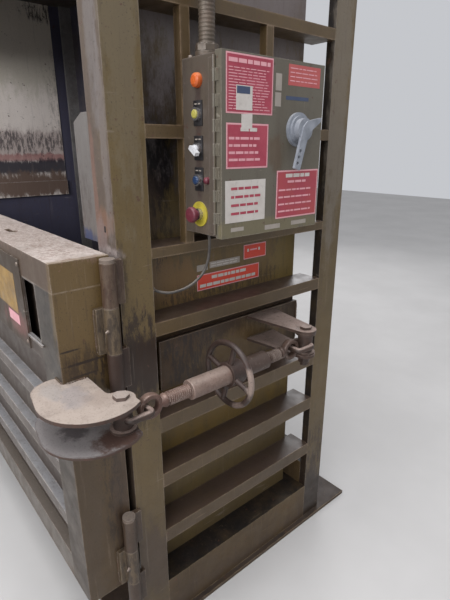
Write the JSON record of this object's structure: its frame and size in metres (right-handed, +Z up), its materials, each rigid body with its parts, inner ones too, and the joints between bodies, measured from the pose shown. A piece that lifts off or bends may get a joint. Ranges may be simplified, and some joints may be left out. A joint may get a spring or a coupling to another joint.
{
  "type": "recycling baler",
  "caption": "Vertical recycling baler: ribbed steel frame, hinged lower door closed by a screw jack, sliding feed gate, hydraulic platen and a side control box.",
  "frame": {"origin": "centre of the floor anchor pattern, at floor level", "axes": "+Z up, the front with the lower door faces -Y, the control box side is +X"},
  "size_m": [2.299, 1.345, 4],
  "materials": {
    "frame_paint": "worn olive gloss paint, dusty",
    "pale_paint": "scuffed grey paint",
    "bare_steel": "rubbed bare steel",
    "rusty_steel": "brown rust over forged steel",
    "chrome_trim": "dull chrome",
    "grey_plastic": "matte moulded plastic",
    "yellow_plastic": "gloss moulded plastic",
    "blue_plastic": "gloss moulded plastic",
    "red_plastic": "gloss moulded plastic",
    "orange_plastic": "gloss moulded plastic",
    "black_rubber": "dusty black rubber"
  },
  "bodies": {
    "frame": {"front_posts": "frame_paint", "rear_posts": "frame_paint", "base_skids": "rusty_steel", "floor_beams": "rusty_steel", "chamber_floor": "rusty_steel", "side_sheets": "frame_paint", "back_sheet": "frame_paint", "wall_liners": "pale_paint", "side_ribs": "frame_paint", "back_ribs": "frame_paint", "top_frame": "frame_paint", "header_panel": "frame_paint", "gate_guides": "pale_paint", "guard_plates": "pale_paint", "platen_guides": "bare_steel", "door_keeper": "rusty_steel", "control_box": "frame_paint", "box_backplate": "bare_steel", "box_struts": "frame_paint", "button_bezels": "chrome_trim", "estop_plate": "yellow_plastic", "lamp_orange": "orange_plastic", "pilot_red": "red_plastic", "conduit_fitting": "bare_steel", "conduit": "bare_steel", "sensor_cable": "black_rubber", "anchor_pad": "frame_paint", "anchor_bracket": "rusty_steel", "anchor_bolt": "rusty_steel", "anchor_yoke": "rusty_steel", "rear_eye_rod": "rusty_steel", "frame_knuckles": "frame_paint", "hinge_pins": "bare_steel", "cylinder_barrel": "frame_paint", "oil_tank": "frame_paint", "motor": "pale_paint", "valve_block": "bare_steel", "hoses": "black_rubber"},
    "door": {"door_stiles": "frame_paint", "door_rails": "pale_paint", "door_skin": "pale_paint", "door_ribs": "pale_paint", "sign_panel": "pale_paint", "horn_plates": "bare_steel", "horn_bolt": "bare_steel", "door_knuckles": "frame_paint"},
    "horn_yoke": {"horn_yoke": "rusty_steel"},
    "sleeve": {"jack_sleeve": "bare_steel"},
    "front_rod": {"front_eye_rod": "rusty_steel"},
    "hand_wheel": {"hand_wheel": "rusty_steel"},
    "gate": {"feed_gate": "frame_paint"},
    "platen": {"platen": "frame_paint", "piston_rod": "bare_steel"},
    "box_door": {"box_door": "pale_paint", "switch_base": "grey_plastic"},
    "switch_handle": {"switch_handle": "grey_plastic"},
    "button_yellow": {"button_yellow": "yellow_plastic"},
    "button_blue": {"button_blue": "blue_plastic"},
    "estop_button": {"estop_button": "red_plastic"},
    "selector_switch": {"selector_switch": "chrome_trim"}
  },
  "joints": [
    {"name": "door_hinge", "type": "hinge", "parent": "frame", "child": "door", "pos_m": [1.0355, -0.493, 0.7], "axis": [0, 0, 1], "range_deg": [0, 45]},
    {"name": "horn_yoke_swivel", "type": "hinge", "parent": "door", "child": "horn_yoke", "pos_m": [1.163, -0.547, 0.986], "axis": [0, 0, 1], "range_deg": [-46, 0]},
    {"name": "jack_slide", "type": "slide", "parent": "frame", "child": "sleeve", "axis": [0, 1, 0], "range_m": [0, 0.054]},
    {"name": "front_rod_slide", "type": "slide", "parent": "sleeve", "child": "front_rod", "axis": [0, 1, 0], "range_m": [0, 0.054]},
    {"name": "hand_wheel_spin", "type": "hinge", "parent": "sleeve", "child": "hand_wheel", "pos_m": [1.163, -0.214, 0.986], "axis": [0, 1, 0], "range_deg": [0, 3050]},
    {"name": "gate_slide", "type": "slide", "parent": "frame", "child": "gate", "axis": [0, 0, -1], "range_m": [0, 0.708]},
    {"name": "platen_slide", "type": "slide", "parent": "frame", "child": "platen", "axis": [0, 0, -1], "range_m": [0, 1.22]},
    {"name": "box_door_hinge", "type": "hinge", "parent": "frame", "child": "box_door", "pos_m": [1.146, -0.248, 1.5875], "axis": [0, 0, -1], "range_deg": [0, 110]},
    {"name": "switch_turn", "type": "hinge", "parent": "box_door", "child": "switch_handle", "pos_m": [1.183, 0.019, 1.637], "axis": [-1, 0, 0], "range_deg": [0, 90]},
    {"name": "yellow_press", "type": "slide", "parent": "frame", "child": "button_yellow", "axis": [0, 1, 0], "range_m": [0, 0.004], "stiffness_N_per_m": 400, "springref_m": -0.002},
    {"name": "blue_press", "type": "slide", "parent": "frame", "child": "button_blue", "axis": [0, 1, 0], "range_m": [0, 0.004], "stiffness_N_per_m": 400, "springref_m": -0.002},
    {"name": "estop_press", "type": "slide", "parent": "frame", "child": "estop_button", "axis": [0, 1, 0], "range_m": [0, 0.005]},
    {"name": "selector_turn", "type": "hinge", "parent": "frame", "child": "selector_switch", "pos_m": [1.078, -0.241, 1.589], "axis": [0, 1, 0], "range_deg": [-45, 45]}
  ],
  "couplings": [
    {"joint": "horn_yoke_swivel", "follows": "door_hinge", "ratio": -1},
    {"joint": "jack_slide", "follows": "door_hinge", "m_per_rad": 0.067464},
    {"joint": "front_rod_slide", "follows": "door_hinge", "m_per_rad": 0.067464},
    {"joint": "hand_wheel_spin", "follows": "door_hinge", "ratio": 66.755}
  ]
}
